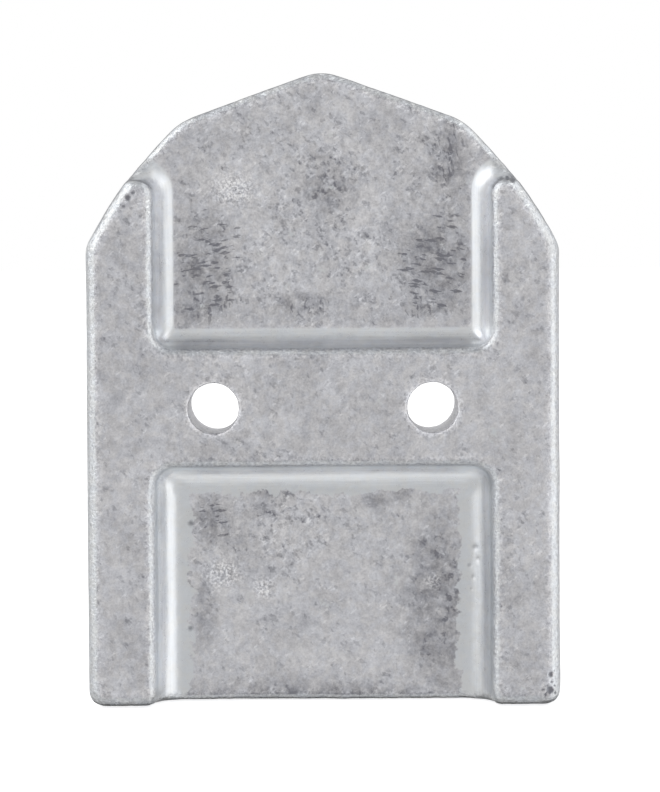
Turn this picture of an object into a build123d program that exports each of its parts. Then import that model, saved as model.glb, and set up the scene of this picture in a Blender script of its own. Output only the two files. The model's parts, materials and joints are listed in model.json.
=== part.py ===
from build123d import *
import math
import os

# An arch-topped cast plate with a raised H on its front face, in millimetres.
# +X is right, +Z is up towards the arch, and the ribbed front looks along -Y.
# The flat back lies on y = 0, with the origin midway between the two bolt holes.

PLATE_WIDTH = 70.4
PLATE_HEIGHT = 94.3
PLATE_THICKNESS = 15.0
POCKET_DEPTH = 6.2
SIDE_DRAFT = 1.0  # degrees, narrowing from the back towards the front

# Heights above the bottom edge. The two crossbar heights are at the front face, before it is rounded.
BOLT_HEIGHT = 44.5
CROSSBAR_BOTTOM = 35.9
CROSSBAR_TOP = 53.2
SHOULDER_HEIGHT = 68.3
BAR_TIP_HEIGHT = 78.0  # the flat end of each side bar, before its corner is rounded

# The outline of the back face.
KNEE_HALF_WIDTH = 21.2
ARCH_TOP_SLOPE = 19.9  # degrees
SHOULDER_BULGE = 1.0
LEG_CORNER_RADIUS = 2.4
SHOULDER_RADIUS = 4.0
KNEE_RADIUS = 10.0
APEX_RADIUS = 8.0

# The pockets, at the front face before it is rounded. Each wall drops steeply, then curves out to the floor.
POCKET_WIDTH = 50.1
WALL_SLOPE = 85.0  # degrees, at the top of a wall
UPPER_COVE_RADIUS = 4.85
UPPER_FOOT_SLOPE = 25.0  # degrees: the upper wall meets the floor at a crease
UPPER_CORNER_RADII = (3.2, 0.6)  # in plan, at the front face and at the floor
LOWER_COVE_RADIUS = 4.6
LOWER_FOOT_SLOPE = 0.0  # degrees: the lower wall runs smoothly into the floor
LOWER_CORNER_RADII = (3.0, 2.0)
COVE_SECTIONS = 5

# Bolt holes and edge roundings.
BOLT_SPACING = 32.3
BOLT_HOLE_DIAMETER = 7.4
BOLT_HOLE_BACK_DIAMETER = 8.0
BOLT_HOLE_STRAIGHT = 8.0  # the hole is straight this far from the front face, then widens to the back
BAR_TIP_RADIUS = 2.2
BAR_TIP_RUN = 1.3  # how far the wall runs out past a bar end, for each mm that it runs out along its side
HOLE_RIM_ROUNDING = 0.15
OUTER_EDGE_ROUNDING = 2.2
POCKET_EDGE_ROUNDING = 1.3
BACK_EDGE_ROUNDING = 0.5

# Cutters reach this far past the plate.
REACH = 60.0
TOLERANCE = 0.01
SHARP_ANGLE = 40.0  # degrees between two faces: an outer edge that gets rounded, not the crease at a wall foot

Z_BOTTOM = -BOLT_HEIGHT


def at_height(sketch, z):
    """The corners at height z of a sketch being drawn, whose own Y is the plate's Z."""
    return [corner for corner in sketch.vertices() if abs(corner.Y - z) < TOLERANCE]


def outline():
    """The closed outline of the back face."""
    side = PLATE_WIDTH / 2
    slope = math.radians(ARCH_TOP_SLOPE)
    z_shoulder = Z_BOTTOM + SHOULDER_HEIGHT
    z_apex = Z_BOTTOM + PLATE_HEIGHT + APEX_RADIUS * (1 / math.cos(slope) - 1)
    z_knee = z_apex - KNEE_HALF_WIDTH * math.tan(slope)
    right_knee = (KNEE_HALF_WIDTH, z_knee)
    left_knee = (-KNEE_HALF_WIDTH, z_knee)
    with BuildSketch(Plane.XZ) as sketch:
        with BuildLine():
            Polyline((-side, z_shoulder), (-side, Z_BOTTOM), (side, Z_BOTTOM), (side, z_shoulder))
            SagittaArc((side, z_shoulder), right_knee, -SHOULDER_BULGE)
            Polyline(right_knee, (0, z_apex), left_knee)
            SagittaArc(left_knee, (-side, z_shoulder), -SHOULDER_BULGE)
        make_face()
        fillet(at_height(sketch, Z_BOTTOM), LEG_CORNER_RADIUS)
        fillet(at_height(sketch, z_shoulder), SHOULDER_RADIUS)
        fillet(at_height(sketch, z_knee), KNEE_RADIUS)
        fillet(at_height(sketch, z_apex), APEX_RADIUS)
    return sketch.sketch


def wall_profile(cove_radius, foot_slope):
    """How far a wall has come in from its top, at each depth below the front face: (inset, depth) pairs."""
    foot = math.radians(foot_slope)
    steep = math.radians(WALL_SLOPE)
    cove_depth = cove_radius * (math.cos(foot) - math.cos(steep))
    straight_depth = POCKET_DEPTH - cove_depth
    straight_inset = straight_depth / math.tan(steep)
    pairs = [(0.0, 0.0)]
    for step in range(COVE_SECTIONS):
        angle = steep + (foot - steep) * step / (COVE_SECTIONS - 1)
        inset = straight_inset + cove_radius * (math.sin(steep) - math.sin(angle))
        depth = straight_depth + cove_radius * (math.cos(angle) - math.cos(steep))
        pairs.append((inset, depth))
    return pairs


def upper_section(inset, depth, corner_radius):
    """The upper pocket at one depth: between the side bars, then out over the arch past both bar ends."""
    half = POCKET_WIDTH / 2 - inset
    z_wall = Z_BOTTOM + CROSSBAR_TOP + inset
    tip_radius = BAR_TIP_RADIUS + inset
    z_tip = Z_BOTTOM + BAR_TIP_HEIGHT + BAR_TIP_RUN * inset
    with BuildSketch(Plane.XZ.offset(PLATE_THICKNESS - depth)) as sketch:
        with BuildLine():
            Polyline(
                (-half, z_wall), (half, z_wall), (half, z_tip), (REACH, z_tip),
                (REACH, REACH), (-REACH, REACH), (-REACH, z_tip), (-half, z_tip), close=True,
            )
        make_face()
        fillet(at_height(sketch, z_wall), corner_radius)
        bar_ends = [corner for corner in at_height(sketch, z_tip) if abs(corner.X) < half + TOLERANCE]
        fillet(bar_ends, tip_radius)
    return sketch.sketch.faces()[0]


def lower_section(inset, depth, corner_radius):
    """The lower pocket at one depth: between the legs, then out at the bottom edge."""
    half = POCKET_WIDTH / 2 - inset
    z_wall = Z_BOTTOM + CROSSBAR_BOTTOM - inset
    with BuildSketch(Plane.XZ.offset(PLATE_THICKNESS - depth)) as sketch:
        with BuildLine():
            Polyline((-half, -REACH), (half, -REACH), (half, z_wall), (-half, z_wall), close=True)
        make_face()
        fillet(at_height(sketch, z_wall), corner_radius)
    return sketch.sketch.faces()[0]


def pocket_cutter(section, profile, corner_radii):
    """The room of one pocket: a steep top, then a cove lofted down to the floor."""
    at_front, at_floor = corner_radii
    sections = []
    for inset, depth in profile:
        corner_radius = at_front + (at_floor - at_front) * depth / POCKET_DEPTH
        sections.append(section(inset, depth, corner_radius))
    return loft(sections[:2]) + loft(sections[1:])


def sharp_front_edges(body):
    """The edges in front of the back face where two faces meet at an angle."""
    normals = {}
    for face in body.faces():
        for edge in face.edges():
            normals.setdefault(edge, []).append(face.normal_at(edge @ 0.5))
    return [
        edge for edge, found in normals.items()
        if (edge @ 0.5).Y < -TOLERANCE and len(found) == 2 and found[0].get_angle(found[1]) > SHARP_ANGLE
    ]


def bolt_hole():
    """The room of one through hole on the Y axis: straight from the front, then widening to the back face."""
    radius = BOLT_HOLE_DIAMETER / 2
    y_widens = BOLT_HOLE_STRAIGHT - PLATE_THICKNESS
    with BuildSketch(Plane.XY) as half_section:
        with BuildLine():
            Polyline(
                (0, -REACH), (radius, -REACH), (radius, y_widens),
                (BOLT_HOLE_BACK_DIAMETER / 2, 0), (0, 0), close=True,
            )
        make_face()
    return revolve(half_section.sketch, Axis.Y)


def is_hole_rim(edge):
    """Whether an edge is a rim of a bolt hole, on the front or the back face."""
    on_a_face = min(abs(edge.center().Y), abs(edge.center().Y + PLATE_THICKNESS)) < TOLERANCE
    return on_a_face and edge.is_closed


def cast_plate():
    """The whole casting: tapered blank, two pockets, rounded edges and two bolt holes."""
    blank = extrude(outline(), PLATE_THICKNESS, taper=SIDE_DRAFT)
    blank = fillet(blank.faces().sort_by(Axis.Y)[0].edges(), OUTER_EDGE_ROUNDING)
    upper_profile = wall_profile(UPPER_COVE_RADIUS, UPPER_FOOT_SLOPE)
    lower_profile = wall_profile(LOWER_COVE_RADIUS, LOWER_FOOT_SLOPE)
    ribbed = blank - pocket_cutter(upper_section, upper_profile, UPPER_CORNER_RADII)
    ribbed -= pocket_cutter(lower_section, lower_profile, LOWER_CORNER_RADII)
    rounded = fillet(sharp_front_edges(ribbed), POCKET_EDGE_ROUNDING)
    back_edges = rounded.edges().filter_by_position(Axis.Y, -TOLERANCE, TOLERANCE)
    drilled = fillet(back_edges, BACK_EDGE_ROUNDING)
    for side in (-1, 1):
        drilled -= Pos(side * BOLT_SPACING / 2, 0, 0) * bolt_hole()
    return fillet(drilled.edges().filter_by(is_hole_rim), HOLE_RIM_ROUNDING)


os.makedirs("parts", exist_ok=True)
plate = cast_plate()
export_step(plate, "parts/cast_plate.step")
print("cast_plate", plate.bounding_box(), "volume", round(plate.volume), "valid", plate.is_valid)
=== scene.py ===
import json
import math

import bpy
import numpy as np
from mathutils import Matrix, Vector

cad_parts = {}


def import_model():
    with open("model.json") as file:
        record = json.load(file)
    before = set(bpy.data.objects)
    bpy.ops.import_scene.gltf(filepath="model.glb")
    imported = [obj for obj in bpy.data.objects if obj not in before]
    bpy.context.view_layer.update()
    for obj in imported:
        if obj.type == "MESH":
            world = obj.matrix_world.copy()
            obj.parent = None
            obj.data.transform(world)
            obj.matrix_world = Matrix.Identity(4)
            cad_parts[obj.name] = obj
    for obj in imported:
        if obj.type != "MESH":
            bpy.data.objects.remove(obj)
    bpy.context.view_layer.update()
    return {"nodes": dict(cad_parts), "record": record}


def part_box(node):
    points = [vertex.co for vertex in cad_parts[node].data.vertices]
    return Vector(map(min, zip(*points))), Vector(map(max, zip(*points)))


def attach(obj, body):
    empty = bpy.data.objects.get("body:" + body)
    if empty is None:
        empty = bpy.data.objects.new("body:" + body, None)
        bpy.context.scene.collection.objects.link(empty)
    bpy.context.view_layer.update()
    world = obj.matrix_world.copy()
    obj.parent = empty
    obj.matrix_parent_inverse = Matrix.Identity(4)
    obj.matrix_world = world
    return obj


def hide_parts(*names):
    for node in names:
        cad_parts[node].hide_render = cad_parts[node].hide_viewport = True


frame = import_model()

MM = 0.001
PLATE = "cast_plate"
LOW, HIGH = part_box(PLATE)
FRONT_Y = LOW.y
OPENINGS = {opening["name"]: opening["box_m"] for opening in frame["record"]["physics"]["openings"]}
FLOOR_HALF_WIDTH, _, FLOOR_TOP = OPENINGS["lower_pocket"][1]  # the flat floor of the lower pocket
BORES = [mount for mount in frame["record"]["mounts"] if mount["kind"] == "bore"]

# ---------------------------------------------------------------- values: casting mesh

VOXEL = 0.28 * MM
SMOOTH_PASSES = 2
SMOOTH_FACTOR = 0.5
TRIANGLE_TARGET = 190_000
SHARPEST_BEND = 0.45 / MM  # bend of the surface that counts as a full outer edge
SHORTEST_SQUARE = 1e-12  # keeps the bend of a tiny mesh edge finite

# Unevenness of the cast skin: size and height of its lumps in millimetres, and the seed that places them
WAVES = [(14.0, 0.06, 1), (5.0, 0.02, 6)]
PEEL = [(1.7, 0.012, 2), (0.8, 0.008, 3)]
EDGE_LUMPS = [(0.8, 0.06, 4), (2.1, 0.06, 5)]
EDGE_WEAR = 0.03  # how far the lumpy edges lie back on average, in millimetres
EDGE_PASSES = 3  # how often the bend is averaged over its neighbours for the edges that get lumps
RIM_PASSES = 8  # and for the rims that the material shows
RIM_GAIN = 2.0

# Large odd numbers that scatter the cells of the noise
SCATTER = (374761393, 668265263, 1274126177)
SEED_SCATTER = 974634777
LOW_BITS = 0xFFFFFF

# ---------------------------------------------------------------- values: marks stored on the mesh

BACK_MARGIN = 3 * MM  # the marks and pits stay this far in front of the flat back
RIB_MARGIN = 3 * MM  # skin that lies this far behind the rib's front belongs to a pocket
PATCH_FALLOFF = 1.5  # how suddenly a patch fades past its radius
FOOT_WIDTH = 2.2 * MM  # width over which the lower pocket's floor changes from rough to smooth
FOOT_RISE = 1.2 * MM  # how far past the flat floor's end the change lies under the crossbar
BORE_RIM = 0.4 * MM  # width of the rim that counts as part of a bolt hole
DARK_PIT = 0.25 * MM  # a pit this deep is fully dark: painted shade, darker the deeper the pit

# Patches on the front: centre x, centre z, radius x, radius z, in millimetres
PATCHES = {
    "flakes": [(-16.8, 20.8, 4.6, 6.0), (16.6, 20.8, 4.6, 6.0), (-17.0, -16.8, 2.6, 2.8)],
    "fans": [
        (-15.0, 15.0, 2.6, 2.0), (15.4, 15.0, 2.6, 2.0), (-1.8, 14.6, 2.8, 1.9), (19.0, 38.0, 2.4, 4.8),
    ],
    "spots": [
        (1.3, 33.5, 3.6, 4.0), (1.8, 25.5, 3.2, 4.5), (-5.0, 27.0, 2.6, 4.0), (1.0, 41.5, 3.0, 2.4),
        (-6.0, -15.8, 6.0, 3.0), (19.0, -28.0, 2.0, 6.0), (18.8, 30.5, 2.2, 3.0),
    ],
    "stains_and_shade": [
        (-17.4, 20.8, 4.8, 7.6), (16.8, 20.8, 4.8, 7.6), (1.3, 32.0, 3.8, 3.6), (19.0, 37.0, 2.8, 5.6),
        (-4.1, 15.2, 4.5, 1.9), (-19.6, 14.0, 2.6, 2.2), (16.6, 15.0, 3.4, 2.4), (-8.8, -12.6, 4.2, 1.3),
        (0.5, -12.6, 6.4, 0.6), (7.8, -14.2, 2.0, 1.2), (11.6, -12.6, 1.7, 1.9), (-17.0, -17.0, 2.4, 3.2),
        # the last patch, a band along the bottom edge, is painted shade
        (17.4, -30.5, 5.2, 14.0), (-17.8, -31.0, 1.6, 4.6), (0.0, -44.0, 24.0, 2.6),
    ],
    "frost": [
        (-13.3, 32.2, 3.4, 2.5), (-15.3, -25.2, 3.0, 2.2), (-9.0, -27.4, 1.5, 1.7), (16.4, -26.6, 1.2, 1.3),
    ],
    "busy": [(0.0, 28.0, 23.0, 18.0), (-8.0, -18.5, 13.0, 7.0)],
}
# Small holes in the skin: x, z, radius, depth, in millimetres
PITS = [
    (33.3, -39.6, 0.45, 0.30), (33.5, -40.7, 0.30, 0.20), (33.2, -41.9, 0.65, 0.40),
    (32.6, -42.6, 0.35, 0.20), (32.8, -41.2, 0.25, 0.20), (34.0, -41.3, 0.28, 0.25),
    (33.9, -39.0, 0.22, 0.15), (34.1, -42.4, 0.30, 0.25), (32.2, -41.8, 0.28, 0.20),
    (22.6, -21.3, 0.50, 0.10), (21.8, -24.1, 0.40, 0.10), (23.0, -23.0, 0.30, 0.08),
    (22.3, -25.8, 0.30, 0.08), (22.0, -27.6, 0.28, 0.08), (-28.4, 31.0, 0.60, 0.25),
    (-27.7, 31.8, 0.40, 0.20), (-29.1, 29.8, 0.35, 0.20), (27.4, 33.7, 0.45, 0.35),
    (28.0, 33.4, 0.42, 0.35), (-11.6, -21.6, 0.25, 0.15), (4.8, -25.2, 0.20, 0.12),
    (-19.9, -17.6, 0.55, 0.18), (-20.1, -33.4, 0.50, 0.18),
]

# ---------------------------------------------------------------- values: metal

# Where each mask starts and where it is full. First by facing, which along Y is -1 on the flats
WALL_FACING = (-0.985, -0.90)  # along Y, the pocket walls
OUTSIDE_FACING = (-0.55, -0.25)  # along Y, the outer side of the plate's edge
SIDEWAYS = (0.25, 0.60)  # along X, left or right
STEEPLY_SIDEWAYS = (0.70, 0.95)
NOT_SIDEWAYS = (0.40, 0.20)
LEVEL = (0.06, 0.40)  # along Z, up or down
UPWARD = (0.25, 0.50)
DOWNWARD = (-0.30, -0.75)
# Then by place
BETWEEN_BARS = (29 * MM, 27 * MM)  # distance from the middle
ABOVE_CROSSBAR = (4 * MM, 10 * MM)  # height
ON_ARCH = (24 * MM, 28 * MM)  # height
# Then by noise
FOOT_BLOTCHES = 2.6  # how much the edge of the smooth feet wanders
FOOT_EDGE = (0.44, 0.58)
STAIN_BLOTCHES = (-0.36, 0.20)
PALE_SPECKS = (0.01, 0.11)
DARK_SPECKS = (-0.03, -0.12)
GATHERED = (-0.06, 0.12)  # noise above which flecks gather
PICKED = (0.0, 0.04)  # how far a cell's draw lies under the share of cells with a fleck
HAZE = (-0.12, 0.12)

# Flecks of the mottling: the share of cells that has one
FEW_FLECKS = 0.06
GATHERED_FLECKS = 0.30
BUSY_FLECKS = 0.35
PALE_FLECK_SHARE = 0.8  # pale flecks for each dark one

# Strengths of single patterns
CONTRAST = 1.12
BUSY_CONTRAST = 0.36
SMOOTH_CALM = 0.85  # the part of the skin's mottling that the smooth walls lose
STROKE_DARKNESS = 0.7
SPOT_DARKNESS = 0.65
DARK_SPECK = -0.6
# how much of the painted light the lower pocket's top wall gets
LOWER_WALL_BRIGHTNESS = 0.7
STREAK_WIDTH = 0.45  # millimetres
STREAK_LENGTH = 26  # widths
FOLD_SHIFT = 20 * MM  # how far each half of a folded pattern is moved in depth, away from the other

# What each layer adds to the mottling
MOTTLING = {
    "clouds": 0.42, "marbling": 0.55, "grain": 0.75, "fine": 0.45,
    "dark_flecks": -0.20, "small_flecks": -0.17, "pale_flecks": 0.17,
}

# The plain metal's tone, and what each feature adds to it
PLAIN_TONE = 0.52
# Among these, the lighter walls are painted light; the darkened level rims, the arch's outer line, the pits
# and the bottom-edge band are painted shade; the arch's pale flecks are partly painted highlight
TONE = {
    "mottling": 1.0, "smooth": 0.10, "streaks": 0.45, "beads": 1.3, "dark_marks": -0.43, "stains_and_shade": -0.50,
    "frost": 0.5, "pits": -0.9, "level_rim_shade": -0.24, "painted_light_walls": 0.30, "bore": 0.22,
    "arch_shade_line": -0.60, "chips_and_highlight": 0.40,
}
# A tone of 0 lies this far from the dark to the light metal, and a tone of 1 lies the span further on
TONE_START = 0.107
TONE_SPAN = 0.893

# The plain metal's roughness, and what each feature adds to it
PLAIN_ROUGHNESS = 0.36
ROUGHNESS = {"smooth": -0.05, "grain": 0.20, "fine": 0.12, "rim": 0.05, "dark_marks": 0.08, "streaks": 0.10}

# How far each feature stands out of the skin, as a part of the relief's depth
RELIEF_DEPTH = 0.035 * MM
RELIEF = {
    "skin_grain": 2.2, "skin_fine": 1.2, "dark_marks": -0.6, "stains_and_shade": -0.3,
    "beads": 4.5, "frost": 0.8, "streaks": 0.12, "chips_and_highlight": 1.0,
}

DARK_METAL = (0.25, 0.25, 0.269, 1)
LIGHT_METAL = (1.0, 1.0, 1.0, 1)
WARM_HAZE = (1.008, 0.998, 0.985, 1)
COOL_HAZE = (0.992, 0.999, 1.015, 1)
SKIN_TINT = (1.0, 1.0, 1.025, 1)
WALL_TINT = (0.975, 1.0, 1.015, 1)

# ---------------------------------------------------------------- values: studio

# Camera: in front of the plate, a little above its middle. Metres, degrees, and millimetres for the lens
CAMERA_DISTANCE = 0.354
CAMERA_HEIGHT = 0.0241
CAMERA_TILT = 1.85
CAMERA_ROLL = 0.33
CAMERA_LENS = 109.6
CAMERA_SHIFT = (0.0099, -0.0934)
CAMERA_CLIP = (0.01, 50)

# Soft lights: name, place, width and height in metres, power in watts
LIGHTS = [
    ("left_softbox", (-0.60, -0.24, 0.30), (0.60, 0.92), 1.18),
    ("right_softbox", (0.60, -0.24, -0.05), (0.60, 1.10), 0.96),
    ("right_low_softbox", (0.60, -0.24, -0.22), (0.50, 0.40), 0.15),
    ("left_high_softbox", (-0.48, -0.06, 0.46), (0.50, 0.50), 0.44),
    ("right_high_softbox", (0.48, -0.06, 0.46), (0.50, 0.50), 0.36),
]

# What the metal mirrors from the room: upward slope of the direction, -1 straight down, and brightness
ROOM_LEVELS = [
    (-1.0, 0.90), (-0.85, 0.82), (-0.6, 0.70), (0.2, 0.67), (0.6, 0.74), (0.85, 0.78), (1.0, 0.62),
]
BEHIND_LEVEL = 0.03  # what is left of it low down behind the plate, which darkens the bottom edges
BEHIND = (0.05, 0.45)  # the direction's part along Y
LOW_DOWN = (-0.35, -0.65)  # the direction's part along Z

FLOOR_REACH = 6.0  # from the middle to each side
FLOOR_COLOUR = (0.9, 0.9, 0.9, 1)
FLOOR_ROUGHNESS = 0.9
FLOOR_GLOW = 0.60  # lifts the floor to white where the camera sees it
WHITE = (1, 1, 1, 1)


# ---------------------------------------------------------------- noise


def lattice_value(cells, seed):
    """A repeatable random number from -1 to 1 for each whole-numbered lattice cell."""
    across, along, up = cells.T
    mixed = across * SCATTER[0] + along * SCATTER[1] + up * SCATTER[2] + seed * SEED_SCATTER
    mixed = (mixed ^ (mixed >> 13)) * SCATTER[2]
    mixed = mixed ^ (mixed >> 16)
    return (mixed & LOW_BITS) / float(LOW_BITS // 2) - 1.0


def smooth_noise(points, size, seed):
    """Smooth random field over points, with lumps about size across."""
    scaled = points / size
    cells = np.floor(scaled).astype(np.int64)
    inside = scaled - cells
    ease = inside * inside * (3.0 - 2.0 * inside)
    total = np.zeros(len(points))
    for corner in np.ndindex(2, 2, 2):
        weight = np.prod(np.where(corner, ease, 1.0 - ease), axis=1)
        total += weight * lattice_value(cells + np.array(corner), seed)
    return total


def layered_noise(points, layers):
    """Smooth noises on top of each other, in millimetres of height."""
    return sum(smooth_noise(points, size * MM, seed) * height for size, height, seed in layers)


# ---------------------------------------------------------------- casting mesh


def mesh_array(items, name, width, kind=np.float64):
    """One row for each vertex, normal or edge of a mesh."""
    flat = np.empty(len(items) * width, kind)
    items.foreach_get(name, flat)
    return flat.reshape(-1, width)


def mean_at_ends(at_first, at_second, edges, count):
    """For each vertex, the mean of what its edges bring it."""
    first, second = edges[:, 0], edges[:, 1]
    total = np.bincount(first, at_first, count) + np.bincount(second, at_second, count)
    ends = np.bincount(first, minlength=count) + np.bincount(second, minlength=count)
    return total / np.maximum(ends, 1)


def outer_edge(mesh, passes):
    """How much each vertex lies on an outer edge, from 0 on flats and hollows to 1."""
    points = mesh_array(mesh.vertices, "co", 3)
    normals = mesh_array(mesh.vertex_normals, "vector", 3)
    edges = mesh_array(mesh.edges, "vertices", 2, np.int64)
    first, second = edges[:, 0], edges[:, 1]
    step = points[second] - points[first]
    turn = normals[second] - normals[first]
    bend = np.einsum("ij,ij->i", step, turn) / np.maximum(np.einsum("ij,ij->i", step, step), SHORTEST_SQUARE)
    mean = mean_at_ends(bend, bend, edges, len(points))
    for _ in range(passes):
        mean = 0.5 * mean + 0.5 * mean_at_ends(mean[second], mean[first], edges, len(points))
    return np.clip(mean / SHARPEST_BEND, 0.0, 1.0)


def on_front(points):
    """True for the skin that lies in front of the flat back and its edge."""
    return points[:, 1] < HIGH.y - BACK_MARGIN


def patch_field(points, patches):
    """1 in the middle of each patch on the front, fading out past its radius."""
    field = np.zeros(len(points))
    for centre_x, centre_z, radius_x, radius_z in patches:
        across = (points[:, 0] / MM - centre_x) / radius_x
        up = (points[:, 2] / MM - centre_z) / radius_z
        field = np.maximum(field, np.exp(-((across**2 + up**2) ** PATCH_FALLOFF)))
    return field * on_front(points)


def pit_depth(points):
    """How deep the small holes are at each point of the skin."""
    depth = np.zeros(len(points))
    for centre_x, centre_z, radius, deepest in PITS:
        distance = np.hypot(points[:, 0] / MM - centre_x, points[:, 2] / MM - centre_z) / radius
        depth = np.maximum(depth, deepest * MM * np.clip(1.0 - distance**2, 0.0, 1.0))
    return depth * on_front(points)


def foot_band(points):
    """1 along the feet of the lower pocket's walls, where the floor is still as smooth as the wall."""
    beside = np.abs(points[:, 0]) - FLOOR_HALF_WIDTH
    above = points[:, 2] - FLOOR_TOP - FOOT_RISE
    inside = (points[:, 1] > FRONT_Y + RIB_MARGIN) & on_front(points) & (points[:, 2] < 0)
    return inside * np.clip(0.5 + np.maximum(beside, above) / FOOT_WIDTH, 0.0, 1.0)


def bore_wall(points):
    """1 on the walls and rims of the bolt holes."""
    gap = np.full(len(points), np.inf)
    for bore in BORES:
        across, _, up = bore["pos_m"]
        distance = np.hypot(points[:, 0] - across, points[:, 2] - up)
        gap = np.minimum(gap, distance - bore["dims"]["r_mm"] * MM)
    return np.where(gap < BORE_RIM, 1.0, 0.0)


def apply_modifiers(piece):
    """Replaces the piece's mesh by what its modifiers make of it."""
    depsgraph = bpy.context.evaluated_depsgraph_get()
    result = bpy.data.meshes.new_from_object(piece.evaluated_get(depsgraph))
    piece.modifiers.clear()
    piece.data = result


def remeshed_copy(source, name):
    """A copy of the CAD node's mesh with even faces, fine enough to carry surface detail."""
    piece = source.copy()
    piece.data = source.data.copy()
    piece.name = name
    piece.parent = None
    for key in [key for key in piece.keys() if key.startswith("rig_")]:
        del piece[key]
    bpy.context.scene.collection.objects.link(piece)
    remesh = piece.modifiers.new("even_faces", "REMESH")
    remesh.mode = "VOXEL"
    remesh.voxel_size = VOXEL
    smooth = piece.modifiers.new("soften_steps", "SMOOTH")
    smooth.factor = SMOOTH_FACTOR
    smooth.iterations = SMOOTH_PASSES
    apply_modifiers(piece)
    return piece


def thin_out(piece):
    """Brings the piece down to its target number of triangles."""
    triangles = len(piece.data.polygons) * 2
    if triangles > TRIANGLE_TARGET:
        thin = piece.modifiers.new("thin_out", "DECIMATE")
        thin.ratio = TRIANGLE_TARGET / triangles
        apply_modifiers(piece)


def roughen_skin(mesh):
    """Moves the skin in and out as poured metal leaves it: waves, peel, lumpy edges and pits."""
    points = mesh_array(mesh.vertices, "co", 3)
    edge = outer_edge(mesh, EDGE_PASSES)
    lumps = layered_noise(points, EDGE_LUMPS) - EDGE_WEAR
    skin = layered_noise(points, WAVES) + layered_noise(points, PEEL) + edge * lumps
    height = skin * MM - pit_depth(points)
    points += mesh_array(mesh.vertex_normals, "vector", 3) * height[:, None]
    mesh.vertices.foreach_set("co", points.ravel())
    mesh.update()


def mark_skin(mesh):
    """Stores where the marks on the skin lie, for the material to read."""
    points = mesh_array(mesh.vertices, "co", 3)
    fields = {name: patch_field(points, patches) for name, patches in PATCHES.items()}
    fields["rim"] = np.clip(outer_edge(mesh, RIM_PASSES) * RIM_GAIN, 0.0, 1.0)
    fields["foot"] = foot_band(points)
    fields["bore"] = bore_wall(points)
    # painted shade in the pits, darker the deeper they are
    fields["pits"] = np.clip(pit_depth(points) / DARK_PIT, 0.0, 1.0)
    for name, values in fields.items():
        mesh.attributes.new(name, "FLOAT", "POINT").data.foreach_set("value", values.astype(np.float32))


def cast_plate_piece():
    """The casting, with the uneven skin and edges of poured metal."""
    piece = remeshed_copy(frame["nodes"][PLATE], "casting")
    roughen_skin(piece.data)
    thin_out(piece)
    for polygon in piece.data.polygons:
        polygon.use_smooth = True
    mark_skin(piece.data)
    return piece


# ---------------------------------------------------------------- shader nodes


class NodeGraph:
    """Adds linked nodes to one node tree, so that a pattern reads as an expression."""

    def __init__(self, tree):
        self.tree = tree

    def node(self, kind, inputs=(), **settings):
        """A new node, whose inputs are sockets to link or plain values."""
        made = self.tree.nodes.new(kind)
        for name, value in settings.items():
            setattr(made, name, value)
        for name, value in dict(inputs).items():
            self.feed(made.inputs[name], value)
        return made

    def feed(self, socket, value):
        """Links a socket into another one, or sets its plain value."""
        if isinstance(value, bpy.types.NodeSocket):
            self.tree.links.new(value, socket)
        else:
            socket.default_value = value

    def math(self, operation, first, second=0.0, third=0.0):
        inputs = {0: first, 1: second, 2: third}
        return self.node("ShaderNodeMath", inputs, operation=operation).outputs[0]

    def vector(self, operation, first, second, third=(0, 0, 0)):
        inputs = {0: first, 1: second, 2: third}
        return self.node("ShaderNodeVectorMath", inputs, operation=operation).outputs[0]

    def split(self, vector):
        """The X, Y and Z sockets of a vector."""
        return self.node("ShaderNodeSeparateXYZ", {"Vector": vector}).outputs

    def add(self, *terms):
        total = terms[0]
        for term in terms[1:]:
            total = self.math("ADD", total, term)
        return total

    def times(self, *factors):
        product = factors[0]
        for factor in factors[1:]:
            product = self.math("MULTIPLY", product, factor)
        return product

    def either(self, *values):
        largest = values[0]
        for value in values[1:]:
            largest = self.math("MAXIMUM", largest, value)
        return largest

    def inverse(self, value):
        return self.math("SUBTRACT", 1.0, value)

    def absolute(self, value):
        return self.math("ABSOLUTE", value)

    def weighted(self, start, weights, features):
        """The start value plus each named feature times its weight."""
        return self.add(start, *[self.times(features[name], weight) for name, weight in weights.items()])

    def band(self, value, start, end):
        """0 to 1 as the value goes from start to end, eased at both ends."""
        inputs = {"Value": value, "From Min": start, "From Max": end}
        return self.node("ShaderNodeMapRange", inputs, interpolation_type="SMOOTHSTEP").outputs["Result"]


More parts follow.
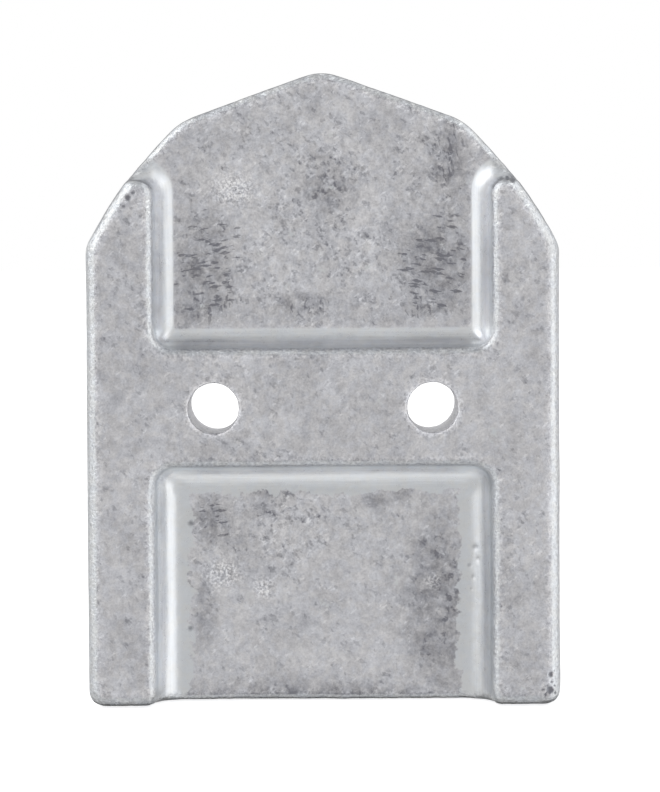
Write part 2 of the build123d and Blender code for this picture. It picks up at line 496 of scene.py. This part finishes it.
class Shading(NodeGraph):
    """The nodes of one material, with patterns measured in millimetres."""

    def __init__(self, name):
        self.material = bpy.data.materials.new(name)
        self.material.use_nodes = True
        super().__init__(self.material.node_tree)
        self.inputs = self.tree.nodes["Principled BSDF"].inputs
        coordinates = self.node("ShaderNodeTexCoord")
        self.place = coordinates.outputs["Object"]
        self.normal = coordinates.outputs["Normal"]

    def at(self, axis):
        """Where the skin lies along an axis, in metres."""
        return self.split(self.place)[axis]

    def facing(self, axis):
        """How much the skin faces along an axis, from -1 to 1."""
        return self.split(self.normal)[axis]

    def mark(self, name):
        """A field stored on the mesh."""
        return self.node("ShaderNodeAttribute", attribute_name=name).outputs["Fac"]

    def mix(self, factor, first, second):
        """A colour between two others."""
        blend = self.node("ShaderNodeMix", {"Factor": factor}, data_type="RGBA")
        self.feed(blend.inputs["A"], first)
        self.feed(blend.inputs["B"], second)
        return blend.outputs["Result"]

    def grid(self, place, size, stretch, turn=0.0):
        """Coordinates that count lumps of a size, stretched along the axes and turned in the front plane."""
        scale = [1.0 / (size * MM * along) for along in stretch]
        turned = self.node("ShaderNodeMapping", {"Vector": place, "Rotation": (0, math.radians(turn), 0)})
        mapping = self.node("ShaderNodeMapping", {"Vector": turned.outputs["Vector"], "Scale": scale})
        return mapping.outputs["Vector"]

    def noise(self, size, detail, roughness=0.6, distortion=0.0, stretch=(1, 1, 1)):
        """Noise about zero, with lumps about size across."""
        inputs = {
            "Vector": self.grid(self.place, size, stretch), "Scale": 1.0, "Detail": detail,
            "Roughness": roughness, "Distortion": distortion,
        }
        return self.math("SUBTRACT", self.node("ShaderNodeTexNoise", inputs).outputs["Fac"], 0.5)

    def flecks(self, size, share, stretch, ragged, turn=0.0, reach=0.62, soft=0.12, place=None):
        """Pointed marks, one to a cell, in a share of the cells.

        Each reaches that far from its cell's middle, with an outline that is ragged and fades softly.
        """
        place = self.grid(place or self.place, size, stretch, turn)
        noise = self.node("ShaderNodeTexNoise", {"Vector": place, "Scale": 2.0, "Detail": 2.0})
        wobble = self.vector("SUBTRACT", noise.outputs["Color"], (0.5, 0.5, 0.5))
        shifted = self.vector("MULTIPLY_ADD", wobble, (ragged, ragged, ragged), place)
        cells = self.node("ShaderNodeTexVoronoi", {"Vector": shifted, "Scale": 1.0}, distance="MANHATTAN")
        draw = self.split(cells.outputs["Color"])["X"]
        fleck = self.band(cells.outputs["Distance"], reach, reach - soft)
        return self.times(fleck, self.band(self.math("SUBTRACT", share, draw), *PICKED))

    def folded(self):
        """Places with the left side folded onto the right, apart in depth, so that only slants mirror."""
        split = self.split(self.place)
        shift = self.times(self.math("SIGN", split["X"]), FOLD_SHIFT)
        inputs = {"X": self.absolute(split["X"]), "Y": self.add(split["Y"], shift), "Z": split["Z"]}
        return self.node("ShaderNodeCombineXYZ", inputs).outputs[0]


# ---------------------------------------------------------------- metal


def smooth_skin(shading):
    """1 where the metal is smooth: the pocket walls, and a blotchy band at the lower pocket's wall feet."""
    wall = shading.band(shading.facing("Y"), *WALL_FACING)
    blotches = shading.times(shading.noise(size=2.4, detail=5), FOOT_BLOTCHES)
    foot = shading.add(shading.mark("foot"), blotches)
    return shading.either(wall, shading.band(foot, *FOOT_EDGE))


def level_facing(shading):
    """1 where the skin faces up or down, 0 where it faces the front or the sides."""
    level = shading.band(shading.absolute(shading.facing("Z")), *LEVEL)
    return shading.times(level, shading.band(shading.absolute(shading.facing("X")), *NOT_SIDEWAYS))


def painted_light_walls(shading):
    """Painted light on the lightest walls: the side walls of the upper pocket and, less so, the lower
    pocket's top one.
    """
    sideways = shading.band(shading.absolute(shading.facing("X")), *STEEPLY_SIDEWAYS)
    between = shading.band(shading.absolute(shading.at("X")), *BETWEEN_BARS)
    upper = shading.times(sideways, between, shading.band(shading.at("Z"), *ABOVE_CROSSBAR))
    downward = shading.band(shading.facing("Z"), *DOWNWARD)
    lower = shading.times(shading.mark("foot"), downward, LOWER_WALL_BRIGHTNESS)
    return shading.times(shading.either(upper, lower), shading.inverse(shading.mark("rim")))


def wall_streaks(shading):
    """Faint lines drawn along the walls: upright on the side walls, level on the crossbar's."""
    sideways = shading.band(shading.absolute(shading.facing("X")), *SIDEWAYS)
    upright = shading.noise(size=STREAK_WIDTH, detail=4, stretch=(1, 1, STREAK_LENGTH))
    level = shading.noise(size=STREAK_WIDTH, detail=4, stretch=(STREAK_LENGTH, 1, 1))
    return shading.add(shading.times(upright, sideways), shading.times(level, level_facing(shading)))


def arch_edge(shading, rim):
    """Two marks on the arch's edge: a dark outer line of painted shade, and pale flecks in front, partly
    painted highlight.
    """
    high = shading.band(shading.at("Z"), *ON_ARCH)
    outside = shading.band(shading.facing("Y"), *OUTSIDE_FACING)
    # painted shade: the outer side of the arch's edge is darkened where it faces up
    line = shading.times(rim, high, outside, shading.band(shading.facing("Z"), *UPWARD))
    # pale flecks with a little relief, whose lightness is partly a painted highlight
    chips_and_highlight = shading.flecks(size=0.8, share=0.45, stretch=(1.6, 3, 0.7), turn=20, ragged=0.9)
    return line, shading.times(chips_and_highlight, rim, high, shading.inverse(outside))


def mottled_layers(shading, busy):
    """The layers of the cast skin's mottling: clouds, grain, crisp dark flecks and thin pale ones."""
    gathered = shading.band(shading.noise(size=3.2, detail=2), *GATHERED)
    denser = shading.add(GATHERED_FLECKS, shading.times(busy, BUSY_FLECKS))
    share = shading.add(FEW_FLECKS, shading.times(gathered, denser))
    pale_share = shading.times(share, PALE_FLECK_SHARE)
    dark = shading.flecks(1.6, share, stretch=(1.3, 3, 0.7), turn=-32, ragged=1.1, soft=0.30)
    small = shading.flecks(0.85, share, stretch=(0.8, 3, 1.2), turn=24, ragged=0.9, soft=0.20)
    pale = shading.flecks(1.0, pale_share, stretch=(1.3, 3, 0.5), turn=40, ragged=1.0, soft=0.20)
    return {
        "clouds": shading.noise(size=9.0, detail=3, roughness=0.55, distortion=0.3),
        "marbling": shading.noise(size=2.8, detail=5, roughness=0.62, distortion=1.2),
        "grain": shading.noise(size=1.1, detail=5, roughness=0.75, distortion=0.2),
        "fine": shading.noise(size=0.32, detail=2, roughness=0.7),
        "dark_flecks": dark,
        "small_flecks": small,
        "pale_flecks": pale,
    }


def dark_marks(shading):
    """Clusters of dark flakes, fans of slanted strokes, and loose dark spots."""
    folded = shading.folded()
    flakes = shading.flecks(
        size=1.15, share=shading.mark("flakes"), stretch=(1.9, 3, 0.5), turn=-8, ragged=0.8, reach=0.58,
        place=folded,
    )
    strokes = shading.flecks(
        size=1.4, share=shading.mark("fans"), stretch=(0.5, 3, 1.8), turn=10, ragged=0.8, reach=0.55,
        place=folded,
    )
    spots = shading.flecks(size=1.2, share=shading.mark("spots"), stretch=(1, 3, 0.9), ragged=1.0, soft=0.25)
    fainter = shading.either(shading.times(strokes, STROKE_DARKNESS), shading.times(spots, SPOT_DARKNESS))
    return shading.either(flakes, fainter)


def stains_and_shade(shading, skin):
    """Dark blotchy patches, fainter on the walls: stained metal, and along the bottom edge a band of painted
    shade.
    """
    blotches = shading.band(shading.noise(size=1.8, detail=4, distortion=0.5), *STAIN_BLOTCHES)
    return shading.times(shading.mark("stains_and_shade"), skin, blotches)


def frost(shading):
    """Patches of fine pale specks, with dark ones between them."""
    specks = shading.noise(size=0.38, detail=2, roughness=0.7)
    dark = shading.times(shading.band(specks, *DARK_SPECKS), DARK_SPECK)
    return shading.times(shading.mark("frost"), shading.add(shading.band(specks, *PALE_SPECKS), dark))


def skin_features(shading):
    """Everything that shows on the casting's skin, by name."""
    times, mark = shading.times, shading.mark
    bore, busy = mark("bore"), mark("busy")
    rim = shading.either(mark("rim"), bore)
    smooth = times(smooth_skin(shading), shading.inverse(bore))
    skin = shading.inverse(times(smooth, SMOOTH_CALM))
    layers = mottled_layers(shading, busy)
    contrast = shading.add(CONTRAST, times(busy, BUSY_CONTRAST))
    line, chips_and_highlight = arch_edge(shading, rim)
    return {
        "mottling": times(shading.weighted(0.0, MOTTLING, layers), skin, contrast),
        "grain": layers["grain"],
        "fine": layers["fine"],
        "skin_grain": times(layers["grain"], skin),
        "skin_fine": times(layers["fine"], skin),
        "smooth": smooth,
        "streaks": times(wall_streaks(shading), smooth),
        "painted_light_walls": painted_light_walls(shading),
        "bore": bore,
        "rim": rim,
        "beads": times(shading.noise(size=0.45, detail=3, roughness=0.7), rim),
        # painted shade: rims that face up or down are darkened
        "level_rim_shade": times(rim, level_facing(shading), shading.inverse(bore)),
        "arch_shade_line": line,
        "chips_and_highlight": chips_and_highlight,
        "dark_marks": times(dark_marks(shading), skin),
        "stains_and_shade": stains_and_shade(shading, skin),
        "frost": frost(shading),
        "pits": mark("pits"),
    }


def metal_colour(shading, features):
    """Grey by tone, with a warm and cool haze over it and a cooler tint on the smooth walls."""
    tone = shading.weighted(PLAIN_TONE, TONE, features)
    shade = shading.math("MULTIPLY_ADD", tone, TONE_SPAN, TONE_START)
    grey = shading.mix(shade, DARK_METAL, LIGHT_METAL)
    haze = shading.band(shading.noise(size=1.6, detail=3), *HAZE)
    hazy = shading.vector("MULTIPLY", grey, shading.mix(haze, WARM_HAZE, COOL_HAZE))
    return shading.vector("MULTIPLY", hazy, shading.mix(features["smooth"], SKIN_TINT, WALL_TINT))


def cast_metal():
    """Dull mottled grey cast metal, smooth on the walls, with dark flakes, stained patches and frosty
    specks, and some painted light and shade.
    """
    shading = Shading("cast_metal")
    features = skin_features(shading)
    relief = shading.weighted(0.0, RELIEF, features)
    bump = shading.node("ShaderNodeBump", {"Height": relief, "Distance": RELIEF_DEPTH, "Strength": 1.0})
    shading.feed(shading.inputs["Base Color"], metal_colour(shading, features))
    shading.feed(shading.inputs["Roughness"], shading.weighted(PLAIN_ROUGHNESS, ROUGHNESS, features))
    shading.feed(shading.inputs["Metallic"], 1.0)
    shading.feed(shading.inputs["Normal"], bump.outputs["Normal"])
    return shading.material


# ---------------------------------------------------------------- studio


def pale_floor():
    """Matt and pale, and lifted to white where the camera sees it."""
    shading = Shading("pale_floor")
    seen = shading.node("ShaderNodeLightPath").outputs["Is Camera Ray"]
    shading.feed(shading.inputs["Base Color"], FLOOR_COLOUR)
    shading.feed(shading.inputs["Roughness"], FLOOR_ROUGHNESS)
    shading.feed(shading.inputs["Emission Color"], WHITE)
    shading.feed(shading.inputs["Emission Strength"], shading.times(seen, FLOOR_GLOW))
    return shading.material


def floor():
    """A wide floor under the plate, left out of what the metal mirrors."""
    mesh = bpy.data.meshes.new("studio_floor")
    corners = [(x * FLOOR_REACH, y * FLOOR_REACH, LOW.z) for x, y in [(-1, -1), (1, -1), (1, 1), (-1, 1)]]
    mesh.from_pydata(corners, [], [(0, 1, 2, 3)])
    mesh.materials.append(pale_floor())
    plane = bpy.data.objects.new("studio_floor", mesh)
    plane.visible_glossy = False
    bpy.context.scene.collection.objects.link(plane)


def soft_light(name, position, target, size, power):
    """A large rectangular light that looks at a point."""
    data = bpy.data.lights.new(name, "AREA")
    data.shape = "RECTANGLE"
    data.size, data.size_y = size
    data.energy = power
    light = bpy.data.objects.new(name, data)
    light.location = position
    light.rotation_euler = (Vector(target) - Vector(position)).to_track_quat("-Z", "Y").to_euler()
    bpy.context.scene.collection.objects.link(light)


def room(graph):
    """An even grey room, darker low down behind the plate."""
    direction = graph.split(graph.node("ShaderNodeTexCoord").outputs["Generated"])
    upward = graph.node("ShaderNodeMapRange", {"Value": direction["Z"], "From Min": -1.0})
    levels = graph.node("ShaderNodeValToRGB", {"Fac": upward.outputs["Result"]})
    while len(levels.color_ramp.elements) < len(ROOM_LEVELS):
        levels.color_ramp.elements.new(1.0)
    for element, (slope, level) in zip(levels.color_ramp.elements, ROOM_LEVELS):
        element.position = (slope + 1.0) / 2.0
        element.color = (level, level, level, 1)
    behind = graph.times(graph.band(direction["Y"], *BEHIND), graph.band(direction["Z"], *LOW_DOWN))
    strength = graph.inverse(graph.times(behind, 1.0 - BEHIND_LEVEL))
    return graph.node("ShaderNodeBackground", {"Color": levels.outputs["Color"], "Strength": strength})


def world():
    """White behind everything for the camera, and the room for the metal to mirror."""
    scene_world = bpy.data.worlds.new("studio")
    bpy.context.scene.world = scene_world
    scene_world.use_nodes = True
    scene_world.node_tree.nodes.clear()
    graph = NodeGraph(scene_world.node_tree)
    backdrop = graph.node("ShaderNodeBackground", {"Color": WHITE})
    seen = graph.node("ShaderNodeLightPath").outputs["Is Camera Ray"]
    inputs = {0: seen, 1: room(graph).outputs[0], 2: backdrop.outputs[0]}
    graph.node("ShaderNodeOutputWorld", {"Surface": graph.node("ShaderNodeMixShader", inputs).outputs[0]})


def studio():
    """Soft lights to the left and right of the plate, the room and the floor."""
    middle = (0, FRONT_Y, 0)
    for name, position, size, power in LIGHTS:
        soft_light(name, position, middle, size, power)
    world()
    floor()


def camera():
    """A long-lens camera square to the plate's front, a little above its middle."""
    data = bpy.data.cameras.new("camera")
    data.lens = CAMERA_LENS
    data.shift_x, data.shift_y = CAMERA_SHIFT
    data.clip_start, data.clip_end = CAMERA_CLIP
    obj = bpy.data.objects.new("camera", data)
    obj.location = (0, FRONT_Y - CAMERA_DISTANCE, CAMERA_HEIGHT)
    obj.rotation_euler = (math.radians(90 - CAMERA_TILT), math.radians(CAMERA_ROLL), 0)
    bpy.context.scene.collection.objects.link(obj)
    bpy.context.scene.camera = obj


# ---------------------------------------------------------------- scene

casting = cast_plate_piece()
casting.data.materials.clear()
casting.data.materials.append(cast_metal())
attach(casting, "root")
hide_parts(PLATE)

camera()
studio()
bpy.context.scene.view_settings.view_transform = "Standard"
